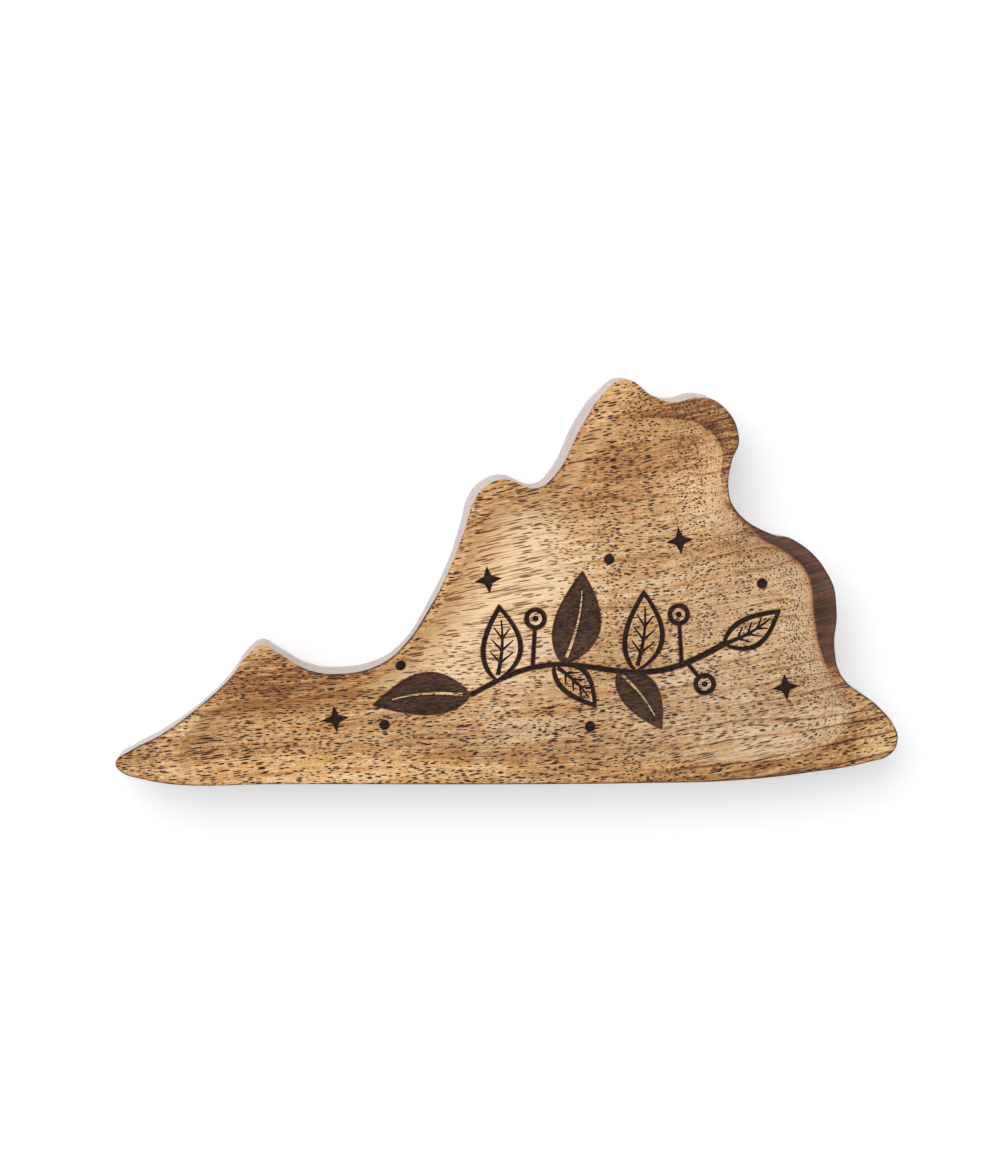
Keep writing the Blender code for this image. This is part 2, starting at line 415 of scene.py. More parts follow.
def spread_points(outline, edge):
    """Choose points over the cove, the floor and the rim, closer together where it curves."""
    chosen = []
    low = outline.min(axis=0)
    high = outline.max(axis=0)
    row_height = COVE_SPACING * np.sqrt(3.0) / 2.0
    coarse = round(PLAIN_SPACING / COVE_SPACING)
    for row in range(int((high[1] - low[1]) / row_height)):
        for column in range(int((high[0] - low[0]) / COVE_SPACING)):
            x = low[0] + (column + 0.5 * (row % 2)) * COVE_SPACING
            point = np.array([x, low[1] + row * row_height])
            plain = row % coarse == 0 and column % coarse == 0
            reach = reach_in(point, edge)
            on_cove = EDGE_RINGS[-1] + POINT_GAP < reach < COVE_REACH + COVE_SPACING
            on_floor = reach >= COVE_REACH and plain
            on_rim = plain and reach < EDGE_RINGS[0] - POINT_GAP
            if on_rim:
                on_rim = reach_in(point, outline) > OUTER_EASE + POINT_GAP
            if on_cove or on_floor or on_rim:
                chosen.append(point)
    return chosen


def top_surface(skin, rim_ring, outline, edge):
    """Add the rim, the cove and the floor as one surface, with the burnt shapes sunk into it."""
    points = [skin.corners[i][:2] for i in rim_ring]
    known_reach = {}
    loops = [range(len(points))]
    for reach in EDGE_RINGS:
        start = len(points)
        points.extend(moved_in(edge, reach))
        loops.append(range(start, len(points)))
        known_reach.update(dict.fromkeys(range(start, len(points)), reach))
    points.extend(spread_points(outline, edge))
    borders = [(loop[i - 1], loop[i]) for loop in loops for i in range(len(loop))]
    shapes = burnt_shapes()
    shape_faces = []
    for border, _ in shapes:
        start = len(points)
        points.extend(border)
        shape_faces.append(list(range(start, len(points))))
    flat, _, faces, origins, _, covers = delaunay_2d_cdt(
        [Vector(point) for point in points], borders, shape_faces, 1, CDT_GAP)
    finishes = [shapes[max(over)][1] if over else WOOD for over in covers]

    raised = {}
    sunk = {}

    def corner_of(index, burnt):
        found = sunk if burnt else raised
        if index not in found:
            first = origins[index][0] if origins[index] else None
            if first is not None and first < len(rim_ring) and not burnt:
                found[index] = rim_ring[first]
            else:
                place = np.array(flat[index])
                reach = known_reach.get(first)
                if reach is None:
                    reach = reach_in(place, edge)
                run = reach_in(place, outline) + OUTER_EASE * (np.pi / 2.0 - 1.0)
                height = TOP - basin_drop(reach) - BURN_DEPTH * burnt
                found[index] = skin.corner(place[0], place[1], height, run, reach)
        return found[index]

    sides = {}
    for face, finish in zip(faces, finishes):
        burnt = finish in SUNK
        skin.face([corner_of(i, burnt) for i in face], finish)
        for i in range(len(face)):
            side = (face[i - 1], face[i])
            sides.setdefault(frozenset(side), []).append((*side, burnt))
    for meeting in sides.values():
        if len(meeting) == 2 and meeting[0][2] != meeting[1][2]:
            a, b, _ = meeting[0]
            upper = (corner_of(a, False), corner_of(b, False))
            skin.face((*upper, corner_of(b, True), corner_of(a, True)), CHARRED)


def dish_mesh():
    """Make the whole dish as one closed mesh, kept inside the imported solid's box."""
    skin = Skin()
    outline = drawn_line(OUTLINE)
    edge = drawn_line(BASIN_EDGE)
    rings = side_rings(skin, outline)
    underside(skin, rings[0])
    top_surface(skin, rings[-1], outline, edge)
    corners = np.clip(np.array(skin.corners), solid_low, solid_high) * MM
    mesh = bpy.data.meshes.new("carved_dish")
    mesh.from_pydata(corners.tolist(), [], skin.faces)
    mesh.polygons.foreach_set("material_index", skin.finishes)
    for name, values in (("edge_run", skin.edge_runs), ("basin_reach", skin.basin_reaches)):
        mesh.attributes.new(name, "FLOAT", "POINT").data.foreach_set("value", values)
    closed = bmesh.new()
    closed.from_mesh(mesh)
    bmesh.ops.recalc_face_normals(closed, faces=closed.faces)
    closed.to_mesh(mesh)
    closed.free()
    mesh.shade_smooth()
    mesh.set_sharp_from_angle(angle=np.radians(CRISP_ANGLE))
    return mesh


# Finishes

def paint(red, green, blue):
    """Turn a colour as a screen shows it, from 0 to 255, into the linear one that shaders use."""
    shown = np.array([red, green, blue]) / 255.0
    linear = np.where(shown <= 0.04045, shown / 12.92, ((shown + 0.055) / 1.055) ** 2.4)
    return (*linear.tolist(), 1.0)


def feed(slot, value):
    """Link a wrapped socket to a node's slot, or set a plain value there."""
    if isinstance(value, Value):
        slot.id_data.links.new(value.socket, slot)
    else:
        slot.default_value = value


class Value:
    """A socket of a finish's nodes. Arithmetic on it adds Math nodes."""

    def __init__(self, socket):
        self.socket = socket

    def sum_of(self, operation, *terms):
        """Add one Math node."""
        step = self.socket.id_data.nodes.new("ShaderNodeMath")
        step.operation = operation
        for slot, term in zip(step.inputs, terms):
            feed(slot, term)
        return Value(step.outputs[0])

    def __add__(self, other):
        return self.sum_of("ADD", self, other)

    def __radd__(self, other):
        return self.sum_of("ADD", other, self)

    def __sub__(self, other):
        return self.sum_of("SUBTRACT", self, other)

    def __rsub__(self, other):
        return self.sum_of("SUBTRACT", other, self)

    def __mul__(self, other):
        return self.sum_of("MULTIPLY", self, other)

    def __rmul__(self, other):
        return self.sum_of("MULTIPLY", other, self)

    def __truediv__(self, other):
        return self.sum_of("DIVIDE", self, other)

    def __pow__(self, other):
        return self.sum_of("POWER", self, other)

    def or_more(self, other):
        """Give the larger of two values."""
        return self.sum_of("MAXIMUM", self, other)

    def fraction(self):
        """Give what is left after the whole number."""
        return self.sum_of("FRACT", self)


class Finish:
    """One material, with the few kinds of node that the finishes are made of."""

    def __init__(self, name):
        self.material = bpy.data.materials.new(name)
        self.material.use_nodes = True
        self.tree = self.material.node_tree
        self.shader = self.tree.nodes["Principled BSDF"]

    def node(self, kind, settings, sockets, output=0):
        """Add a node: its settings come first, then its sockets' values or links."""
        made = self.tree.nodes.new(kind)
        for name, setting in settings.items():
            if name == "stops":
                self.set_stops(made.color_ramp.elements, setting)
            else:
                setattr(made, name, setting)
        for name, value in sockets.items():
            feed(made.inputs[name], value)
        return Value(made.outputs[output])

    def set_stops(self, elements, stops):
        """Give a colour ramp its stops."""
        while len(elements) < len(stops):
            elements.new(1.0)
        for element, (position, colour) in zip(elements, stops):
            element.position = position
            element.color = colour

    def rise(self, value, low, high):
        """Go smoothly from 0 to 1 as a value goes from low to high."""
        sockets = {"Value": value, "From Min": low, "From Max": high}
        return self.node("ShaderNodeMapRange", {"interpolation_type": "SMOOTHSTEP"}, sockets)

    def blend(self, share, first, second):
        """Mix two colours."""
        return self.node("ShaderNodeMix", {"data_type": "RGBA"}, {0: share, 6: first, 7: second}, 2)

    def shade(self, share, first, second):
        """Multiply a colour by another, by a share."""
        settings = {"data_type": "RGBA", "blend_type": "MULTIPLY"}
        return self.node("ShaderNodeMix", settings, {0: share, 6: first, 7: second}, 2)

    def noise(self, vector, detail=2.0, roughness=0.5):
        """Give smooth noise from 0 to 1 over a vector, whose unit is the size of a feature."""
        sockets = {"Vector": vector, "Scale": 1.0, "Detail": detail, "Roughness": roughness}
        return self.node("ShaderNodeTexNoise", {}, sockets)

    def relief(self, height, strength, depth):
        """Give a normal that follows a height, whose unit is a depth in millimetres."""
        sockets = {"Strength": strength, "Distance": depth * MM, "Height": height}
        return self.node("ShaderNodeBump", {}, sockets)

    def reading(self, name):
        """Read a value that the mesh keeps at its corners."""
        return self.node("ShaderNodeAttribute", {"attribute_name": name}, {}, 2)

    def join(self, x, y, z):
        """Make a vector from three values."""
        return self.node("ShaderNodeCombineXYZ", {}, {0: x, 1: y, 2: z})


# How the grain lies, in millimetres. Its lines rise to the right, more so to the north and east.
# The fibres dip eastwards into the board, steeply in the east, and lie nearly level in one oval.
# The layers bend with the carved surface, so that height counts for less than its full share,
# and least in the west.
GRAIN_SLOPE = 0.105
GRAIN_SLOPE_NORTH = 0.0018
TURN_EAST = 10.0
GRAIN_TURN = 0.003
GRAIN_DIP = 0.14
STEEP_EAST = 26.0
STEEP_DIP = 0.11
STEEP_NORTH = (-22.0, -4.0)
LEVEL_CENTRE = (-1.0, 0.0)
LEVEL_RADII = (20.0, 20.0)
BULGE_CENTRE = (9.0, 5.0)
BULGE_RADII = (17.0, 15.0)
BULGE_RISE = 1.3
OVAL_FADE = (0.1, 1.1)
HEIGHT_SHARE = 0.14
HEIGHT_SHARE_EAST = 0.36
HEIGHT_FADE = (17.0, 31.0)
LINE_DEPTH = 20.0

# The grain's slow wobble: sizes along X, Y and Z, and how far it moves the layers.
SWAY_SIZES = (26.0, 9.0, 14.0)
SWAY_DEEP = 1.2
RIPPLE_SIZES = (6.0, 2.2, 4.0)
RIPPLE_SHARE = 0.3


class Grain:
    """The wood's own frame: along its fibres, across them, and deep through its layers."""

    def __init__(self, finish):
        self.finish = finish
        place = finish.node("ShaderNodeTexCoord", {}, {}, 3)
        scaled = finish.node("ShaderNodeVectorMath", {"operation": "SCALE"}, {0: place, 3: 1.0 / MM})
        parts = [finish.node("ShaderNodeSeparateXYZ", {}, {0: scaled}, axis) for axis in range(3)]
        self.x, self.y, self.z = parts
        sway = self.wobble(*SWAY_SIZES)
        ripple = self.wobble(*RIPPLE_SIZES)
        climb = self.x * (self.y * GRAIN_SLOPE_NORTH + GRAIN_SLOPE)
        climb = climb + ((self.x - TURN_EAST).or_more(0.0) ** 2.0) * (0.5 * GRAIN_TURN)
        climb = climb + self.oval(BULGE_CENTRE, BULGE_RADII) * BULGE_RISE
        self.along = self.x + self.y * GRAIN_SLOPE
        self.across = self.y - climb + sway + ripple * RIPPLE_SHARE
        level = self.oval(LEVEL_CENTRE, LEVEL_RADII)
        steep = (self.x - STEEP_EAST).or_more(0.0) * finish.rise(self.y, *STEEP_NORTH) * STEEP_DIP
        dip = (self.x - LEVEL_CENTRE[0]) * (GRAIN_DIP - level * GRAIN_DIP) + steep
        height_share = finish.rise(self.x, *HEIGHT_FADE) * HEIGHT_SHARE_EAST + HEIGHT_SHARE
        height = (self.z - FLOOR) * height_share
        self.deep = height + dip + sway * SWAY_DEEP + ripple * RIPPLE_SHARE

    def wobble(self, east, north, up):
        """Give slow noise about 0, with features of these sizes along the dish's own directions."""
        vector = self.finish.join(self.x / east, self.y / north, self.z / up)
        return self.finish.noise(vector, 1.0) - 0.5

    def oval(self, centre, radii):
        """Give 1 in the middle of an oval in plan, and less towards its border."""
        east = (self.x - centre[0]) / radii[0]
        north = (self.y - centre[1]) / radii[1]
        return 1.0 - self.finish.rise((east * east + north * north) ** 0.5, *OVAL_FADE)

    def stretched(self, along, across, deep):
        """Give a vector whose units are these lengths along the wood's own directions."""
        return self.finish.join(self.along / along, self.across / across, self.deep / deep)

    def lines(self, along, across):
        """Give noise in long lines that keep to the grain, whatever the fibres' dip."""
        flat = self.finish.join(self.along / along, self.across / across, self.z / LINE_DEPTH)
        return self.finish.noise(flat, 3.0, 0.6)


# The open pores: spacing along, across and deep, then radius, softness and disorder in cells.
COARSE_PORES = ((7.0, 0.34, 0.2), 0.335, 0.035, 0.85)
FINE_PORES = ((2.6, 0.21, 0.12), 0.29, 0.08, 1.0)
LEAST_PORE = 0.8
PORE_CHANCE = 0.4

# How strongly the pores show, and what they lose in the light middle and between the east's rings.
COARSE_LOSS_MIDDLE = 0.15
FINE_SHARE = 0.5
FINE_LOSS_MIDDLE = 0.4
ROW_CONTRAST = 0.4


def pore_marks(grain, spacing, radius, softness, disorder):
    """Give 1 in the wood's open pores: long thin tubes along the grain, cut where they surface."""
    finish = grain.finish
    sockets = {"Vector": grain.stretched(*spacing), "Scale": 1.0, "Randomness": disorder}
    cells = finish.node("ShaderNodeTexVoronoi", {"feature": "F1"}, sockets)
    tube = cells.socket.node
    chance = finish.node("ShaderNodeSeparateXYZ", {}, {0: Value(tube.outputs["Color"])})
    size = (chance * PORE_CHANCE + LEAST_PORE) * radius
    return 1.0 - finish.rise(cells - size, -softness, softness)


# The wood's colours, from its darkest tone to its lightest, and those of its other features, and
# then how rough and how glossy its finishes are, and how deep their relief is in millimetres.
TONES = (
    (0.0, paint(92, 56, 36)), (0.28, paint(146, 98, 60)), (0.5, paint(193, 147, 94)),
    (0.72, paint(221, 178, 124)), (1.0, paint(247, 217, 172)),
)
PORE_BROWN = paint(58, 34, 27)
PORE_RED = paint(112, 46, 20)
PORE_PALE = paint(76, 52, 44)
STREAK_RED = paint(134, 66, 36)
RUST = paint(250, 222, 188)
# GOLD tints the golden rim, and in the coves gives a painted sheen.
GOLD = paint(255, 232, 186)
ASH = paint(231, 234, 245)
EDGE_BROWN = paint(66, 45, 36)
HEART_DARK = paint(50, 30, 24)
HEART_PALE = paint(118, 80, 62)
HEART_FRINGE = paint(176, 108, 66)
# The walls' painted glare, paler towards the foot with painted bounce light from the floor.
WALL_GLARE_HIGH = paint(218, 209, 207)
WALL_GLARE_AND_BOUNCE = paint(226, 221, 220)
WALL_STREAK = paint(212, 186, 164)
SEAR_BROWN = paint(150, 104, 72)
SEAR_PALE = paint(214, 200, 190)
CHAR_LIGHT = paint(58, 40, 31)
CHAR_DARK = paint(32, 21, 16)
SCORCH_LIGHT = paint(94, 67, 51)
SCORCH_DARK = paint(48, 33, 26)
BURNT_SPECK = paint(168, 138, 112)
BURNT_PORE = paint(34, 24, 20)
OILED_ROUGHNESS = 0.48
SEARED_ROUGHNESS = 0.6
BURNT_ROUGHNESS = 0.72
FIBRE_ROUGHNESS = 0.16
PORE_ROUGHNESS = 0.25
WALL_ROUGHNESS = 0.2
BURNT_FIBRE_ROUGHNESS = 0.2
OILED_GLOSS = 0.3
BURNT_GLOSS = 0.25
PORE_RELIEF = 0.1
BURNT_RELIEF = 0.12
RELIEF_STRENGTH = 0.6
BURNT_RELIEF_STRENGTH = 0.8
FIBRE_HEIGHT = 0.25
BAND_HEIGHT = 0.15

# Sizes of the wood's figure along, across and deep, in millimetres, and of its growth rings.
BROAD_SIZES = (60.0, 5.0, 12.0)
BAND_SIZES = (30.0, 1.2, 5.0)
FIBRE_SIZES = (3.0, 0.28, 0.6)
FLECK_SIZES = (0.35, 0.9, 0.6)
RUSTY_SIZES = (9.0, 1.4, 2.0)
RUSTY_FADE = (0.48, 0.66)
RAGGED_SIZES = (14.0, 1.6, 3.0)
RAGGED_SHARE = 0.5
BURNT_FIBRE_SIZES = (2.2, 0.22, 0.3)
BURNT_SPECK_SIZES = (0.7, 0.16, 0.2)
BLOTCH_SIZES = (6.0, 2.0, 2.0)
THREAD_SIZES = (7.0, 0.22)
STREAK_SIZES = (9.0, 0.13)
STREAK_FADE = (0.565, 0.585)
RING_SPACING = 2.6
RING_SWAY = 2.5
LATE_START = (0.7, 0.97)
THIN_LATE_START = (0.87, 0.95)
LATE_END = (0.97, 1.0)
ROW_START = (0.1, 0.4)

# Where the parts of the dish start and end: by reach into the basin, eastwards and northwards.
BASIN_FADE = (-0.1, 0.3)
COVE_FADE = (1.0, 3.6)
LIP_FADE = (-1.6, -0.3)
LIP_NORTH_EAST = (0.0, 30.0)
FLANK_FADE = (2.0, 5.0)
EAST_FADE = (10.0, 40.0)
NORTH_FADE = (8.0, 20.0)
SOUTH_FADE = (-22.0, -8.0)
SOUTH_RIM_EAST = (-2.0, 20.0)
SOUTH_RIM_NORTH = (-27.0, -20.0)
LOBE_EAST = (22.0, 34.0)
ASHEN_FADE = (-10.0, 55.0)

# Patches with a look of their own: centre, half sizes, softness, and turn in degrees.
LIGHT_MIDDLE = ((-5.0, -2.0), (19.0, 17.0), 0.4, 8.0)
WEST_FLANK = ((-11.0, -2.5), (19.0, 6.0), 0.3, 54.0)
HATCHED_WEST = ((-50.0, -27.5), (14.0, 5.0), 0.6, 0.0)
SOUTH_EAST_TIP = ((56.0, -24.0), (9.0, 6.0), 0.4, 0.0)
GOLDEN_RIM = ((-28.0, -30.5), (32.0, 3.0), 0.5, 0.0)
ASHEN_FLOOR = ((6.0, -26.0), (17.0, 4.0), 0.5, 0.0)
RUDDY_ARM = ((-34.0, -16.0), (16.0, 6.0), 0.5, 8.0)
VALLEY_WALL = ((-29.0, -13.0), (15.0, 7.0), 0.5, 0.0)

# How much the figure, and then the parts of the dish, lighten or darken the middle tone.
MIDDLE_TONE = 0.54
BROAD_SHARE = 0.4
BAND_SHARE = 0.7
THREAD_SHARE = 0.9
FIBRE_SHARE = 1.25
FLECK_SHARE = 0.35
LATE_DARK = 0.04
LATE_DARK_EAST = 0.1
LATE_DARK_TIP = 0.2
THIN_LATE_DARK = 0.24
MIDDLE_LIGHT = 0.47
# The coves are lighter: partly their cut wood's own tone, partly painted sheen that offsets their shade,
# most in the north and least in the south.
COVE_TONE_AND_SHEEN = 0.13
COVE_SHEEN_NORTH = 0.22
COVE_DARK_SOUTH = 0.1
EAST_LIGHT = 0.25
# The west flank's cove: partly lighter wood, partly painted light that offsets its shade where it faces
# away from the key.
FLANK_TONE_AND_PAINTED_LIGHT = 0.46
BASIN_LIGHT = 0.02
SOUTH_RIM_DARK = 0.08
LIP_DARK = 0.03
LIP_DARK_NORTH = 0.05

# Smaller places with their own tone: centre, half sizes, softness, turn, and the change.
TONED_PLACES = (
    ((-37.0, -17.0), (13.0, 5.0), 0.6, 8.0, -0.18),  # under the west peak
    ((-43.0, -11.5), (3.5, 1.6), 0.5, 8.0, 0.1),  # the west peak's left
    ((-43.5, -15.8), (4.0, 2.0), 0.5, 8.0, -0.14),  # below that
    ((-44.0, -23.5), (9.0, 2.2), 0.5, 4.0, 0.12),  # the west arm's floor
    ((-27.0, -16.0), (7.0, 2.5), 0.5, 10.0, 0.1),  # the valley's rim
    ((-14.0, -27.0), (7.0, 2.2), 0.5, 0.0, -0.03),  # where the arm joins
    ((-50.0, -22.0), (9.0, 2.6), 0.5, 35.0, 0.12),  # the cove at the west end
    ((15.0, 27.0), (4.0, 4.0), 0.5, 12.0, 0.12),  # the north peak's left
    ((-33.0, -22.0), (11.0, 2.4), 0.5, 3.0, 0.12),  # the arm's floor, nearer the middle
    ((-11.8, -3.0), (14.0, 1.6), 0.4, 54.0, 0.12),  # the line of the west flank
    ((-8.0, 3.0), (11.0, 9.0), 0.5, 50.0, 0.12),  # the slope to the second peak
    ((42.0, -30.6), (8.0, 1.6), 0.5, 3.0, -0.12),  # the south rim, east
    ((-1.0, -24.0), (9.0, 3.0), 0.5, 0.0, 0.16),  # the south floor
    ((-53.4, -28.7), (4.0, 2.0), 0.5, 20.0, 0.14),  # the basin's west end
    ((30.5, 28.0), (9.0, 5.0), 0.5, 8.0, -0.18),  # the north lobe
    ((24.4, 23.5), (3.5, 4.0), 0.5, 8.0, 0.09),  # the cove below the north peak
    ((21.5, 19.0), (5.5, 3.5), 0.6, 12.0, -0.16),  # the floor below it
    ((18.0, -30.6), (12.0, 1.6), 0.5, 1.0, 0.07),  # the south rim, middle
    ((19.0, 31.0), (5.0, 3.0), 0.6, 12.0, 0.14),  # the north peak's top
    ((28.0, 15.5), (3.6, 3.0), 0.5, 30.0, 0.12),  # the narrow floor, right
    ((35.0, 23.5), (3.5, 4.0), 0.5, 60.0, -0.1),  # the north lobe's right
    ((35.5, 12.0), (2.5, 6.0), 0.5, 70.0, 0.16),  # the rim's inward bend
    ((31.0, 21.0), (4.5, 4.0), 0.6, 20.0, -0.18),  # the cove under the north lobe
    ((39.0, 4.0), (5.0, 4.0), 0.6, 20.0, -0.1),  # the floor by the east lobe
    ((-28.0, -31.2), (32.0, 2.6), 0.5, 0.0, 0.27),  # the long south rim, west
    ((-8.0, -5.5), (3.0, 2.5), 0.5, 10.0, 0.08),  # the light middle's left
    ((-5.0, -30.5), (12.0, 2.5), 0.5, 0.0, -0.12),  # the south rim, near its middle
    ((44.5, -17.3), (4.0, 4.5), 0.5, 12.0, -0.14),  # the floor at the east end
    ((14.0, -23.5), (14.0, 3.0), 0.5, 2.0, 0.08),  # the south floor, right of its middle
    ((61.0, -26.0), (4.0, 3.0), 0.5, 12.0, 0.26),  # the east tip
    ((54.0, -22.0), (5.0, 4.0), 0.5, 12.0, -0.04),  # the cove by it
    ((6.0, -29.2), (20.0, 1.2), 0.5, 1.0, 0.14),  # the line of the south cove
    ((12.6, 22.3), (6.0, 1.7), 0.4, 58.0, 0.26),  # the line of the north flank
)


class Figure:
    """The wood's figure in each place, and how far each place is in a part of the dish."""

    def __init__(self, grain):
        finish = grain.finish
        self.finish = finish
        self.grain = grain
        self.reach = finish.reading("basin_reach")
        self.run = finish.reading("edge_run")
        self.ragged = (finish.noise(grain.stretched(*RAGGED_SIZES), 2.0) - 0.5) * RAGGED_SHARE
        self.broad = finish.noise(grain.stretched(*BROAD_SIZES), 2.0)
        self.bands = finish.noise(grain.stretched(*BAND_SIZES), 4.0, 0.6)
        self.fibres = finish.noise(grain.stretched(*FIBRE_SIZES), 3.0, 0.7)
        self.threads = grain.lines(*THREAD_SIZES)
        self.ring = (grain.across / RING_SPACING + self.broad * RING_SWAY).fraction()
        self.basin = finish.rise(self.reach, *BASIN_FADE)
        self.rim = 1.0 - self.basin
        self.cove = self.basin * (1.0 - finish.rise(self.reach, *COVE_FADE))
        self.light_middle = self.patch(*LIGHT_MIDDLE) * self.basin
        self.flank = self.patch(*WEST_FLANK)
        self.east = finish.rise(grain.x, *EAST_FADE)
        self.north = finish.rise(grain.y, *NORTH_FADE)
        self.south = 1.0 - finish.rise(grain.y, *SOUTH_FADE)
        southern = 1.0 - finish.rise(grain.y, *SOUTH_RIM_NORTH)
        self.south_rim = self.rim * finish.rise(grain.x, *SOUTH_RIM_EAST) * southern

    def patch(self, centre, radii, softness, turn):
        """Give 1 inside a turned oval in plan, with a soft streaky border."""
        east = self.grain.x - centre[0]
        north = self.grain.y - centre[1]
        cosine = np.cos(np.radians(turn))
        sine = np.sin(np.radians(turn))
        length = (east * cosine + north * sine) / radii[0]
        width = (north * cosine - east * sine) / radii[1]
        distance = (length * length + width * width) ** 0.5
        return 1.0 - self.finish.rise(distance + self.ragged, 1.0 - softness, 1.0 + softness)


def wood_tone(figure):
    """Give the wood's place on its scale of tones: its figure first, then the dish's parts."""
    finish = figure.finish
    late = finish.rise(figure.ring, *LATE_START) * (1.0 - finish.rise(figure.ring, *LATE_END))
    thin_late = finish.rise(figure.ring, *THIN_LATE_START) * late
    late_dark = LATE_DARK + figure.east * LATE_DARK_EAST + figure.patch(*SOUTH_EAST_TIP) * LATE_DARK_TIP
    flecks = finish.noise(figure.grain.stretched(*FLECK_SIZES), 2.0, 0.6) - 0.5
    tone = MIDDLE_TONE + (figure.broad - 0.5) * BROAD_SHARE + (figure.bands - 0.5) * BAND_SHARE
    tone = tone + (figure.threads - 0.5) * THREAD_SHARE + (figure.fibres - 0.5) * FIBRE_SHARE
    tone = tone + flecks * (figure.patch(*HATCHED_WEST) * FLECK_SHARE + FLECK_SHARE)
    tone = tone - late * late_dark - thin_late * figure.east * THIN_LATE_DARK

    # Painted sheen in the coves, over their lighter cut wood.
    cove_tone_and_sheen = COVE_TONE_AND_SHEEN + figure.north * COVE_SHEEN_NORTH - figure.south * COVE_DARK_SOUTH
    # Painted light on the west flank's cove, over its lighter wood.
    flank = figure.flank * (1.0 - finish.rise(figure.reach, *FLANK_FADE))
    lip = figure.rim * finish.rise(figure.reach, *LIP_FADE)
    north_east = finish.rise(figure.grain.x + figure.grain.y, *LIP_NORTH_EAST)
    lip = lip * figure.flank.or_more(north_east)
    tone = tone + figure.light_middle * MIDDLE_LIGHT + figure.cove * cove_tone_and_sheen
    tone = tone + figure.basin * (figure.east * EAST_LIGHT + flank * FLANK_TONE_AND_PAINTED_LIGHT + BASIN_LIGHT)
    tone = tone - figure.south_rim * SOUTH_RIM_DARK - lip * (LIP_DARK + figure.north * LIP_DARK_NORTH)
    for centre, radii, softness, turn, change in TONED_PLACES:
        tone = tone + figure.patch(centre, radii, softness, turn) * change
    return tone


# How strongly the tints show, and what they lose in some parts of the dish.
GOLD_SHARE = 0.35
GOLD_LOSS_SOUTH = 0.7
ASHEN_RIM = 0.35
RUDDY_SHARE = 0.5
RUDDY_FLANK = 0.8
RUDDY_EAST = 0.4
RUDDY_LOSS_LOBE = 0.6
RUSTY_SHARE = 0.75
RUSTY_LOSS_EAST = 0.25
RUSTY_LOSS_SOUTH_EAST = 0.5
STREAK_SHARE = 0.06
STREAK_SHARE_MIDDLE = 0.68


def tinted(figure, colour):
    """Tint the wood golden, ashen and ruddy in parts, with a painted golden sheen in the coves, and add
    rusty bands and red streaks.
    """
    finish = figure.finish
    grain = figure.grain
    gold = figure.patch(*GOLDEN_RIM).or_more(figure.south_rim)
    # A painted golden sheen in the coves.
    cove_golden_sheen = figure.cove * (1.0 - figure.east) * (1.0 - figure.south * GOLD_LOSS_SOUTH)
    colour = finish.shade(gold.or_more(cove_golden_sheen) * GOLD_SHARE, colour, GOLD)
    ashen = finish.rise(grain.x - grain.y, *ASHEN_FADE)
    ashen = ashen * (ASHEN_RIM + figure.basin * (1.0 - ASHEN_RIM))
    ashen = ashen.or_more(figure.patch(*ASHEN_FLOOR) * figure.basin)
    colour = finish.shade(ashen, colour, ASH)

    ruddy = figure.north * (1.0 - finish.rise(grain.x, *LOBE_EAST) * RUDDY_LOSS_LOBE)
    ruddy = ruddy.or_more(figure.flank * RUDDY_FLANK).or_more(figure.patch(*RUDDY_ARM))
    ruddy = ruddy.or_more(figure.cove * (1.0 - figure.south))
    ruddy = ruddy.or_more(figure.east * figure.basin * (RUDDY_EAST - figure.south * RUDDY_EAST))
    rusty = finish.rise(finish.noise(grain.stretched(*RUSTY_SIZES), 3.0, 0.6), *RUSTY_FADE)
    rusty = rusty * (RUSTY_SHARE - figure.light_middle * RUSTY_SHARE)
    rusty = rusty * (1.0 - figure.east * (figure.south * RUSTY_LOSS_SOUTH_EAST + RUSTY_LOSS_EAST))
    colour = finish.shade(rusty.or_more(ruddy * RUDDY_SHARE), colour, RUST)
    streaks = finish.rise(grain.lines(*STREAK_SIZES), *STREAK_FADE)
    streaks = streaks * (STREAK_SHARE + figure.light_middle * STREAK_SHARE_MIDDLE)
    return finish.blend(streaks, colour, STREAK_RED)


def open_pores(figure):
    """Give the share of the pores, fainter between the rings in the east, and their colour."""
    finish = figure.finish
    middle = figure.light_middle
    coarse = pore_marks(figure.grain, *COARSE_PORES) * (1.0 - middle * COARSE_LOSS_MIDDLE)
    fine = pore_marks(figure.grain, *FINE_PORES) * (FINE_SHARE - middle * FINE_LOSS_MIDDLE)
    rows = 1.0 - (1.0 - finish.rise(figure.ring, *ROW_START)) * figure.east * ROW_CONTRAST
    colour = finish.blend(figure.east * figure.basin, PORE_BROWN, PORE_PALE)
    return coarse.or_more(fine) * rows, finish.blend(middle, colour, PORE_RED)


# The heartwood's limits in millimetres, its paler side and lines, and its fringe's limits.
HEART_NORTH_SIDE = (46.8, 48.2)
HEART_SOUTH_SIDE = (45.0, 46.5)
HEART_NORTH_END = (12.0, 14.0)
HEART_SOUTH_END = (-14.4, -13.2)
HEART_INNER = (-0.1, 0.35)
HEART_RAGGED = 3.0
HEART_SHARE = 0.97
HEART_PALE_RUN = (0.6, 3.2)
HEART_LINE_FADE = (0.42, 0.66)
HEART_PALE_SWAY = 4.0
HEART_LINE_SWAY = 0.6
HEART_PALE_SHARE = 0.35
HEART_LINE_SHARE = 0.6
FRINGE_SOUTH_END = (-19.0, -11.0)
FRINGE_INNER = (0.2, 0.75)
FRINGE_SHARE = 0.5
FRINGE_RAGGED = 0.2


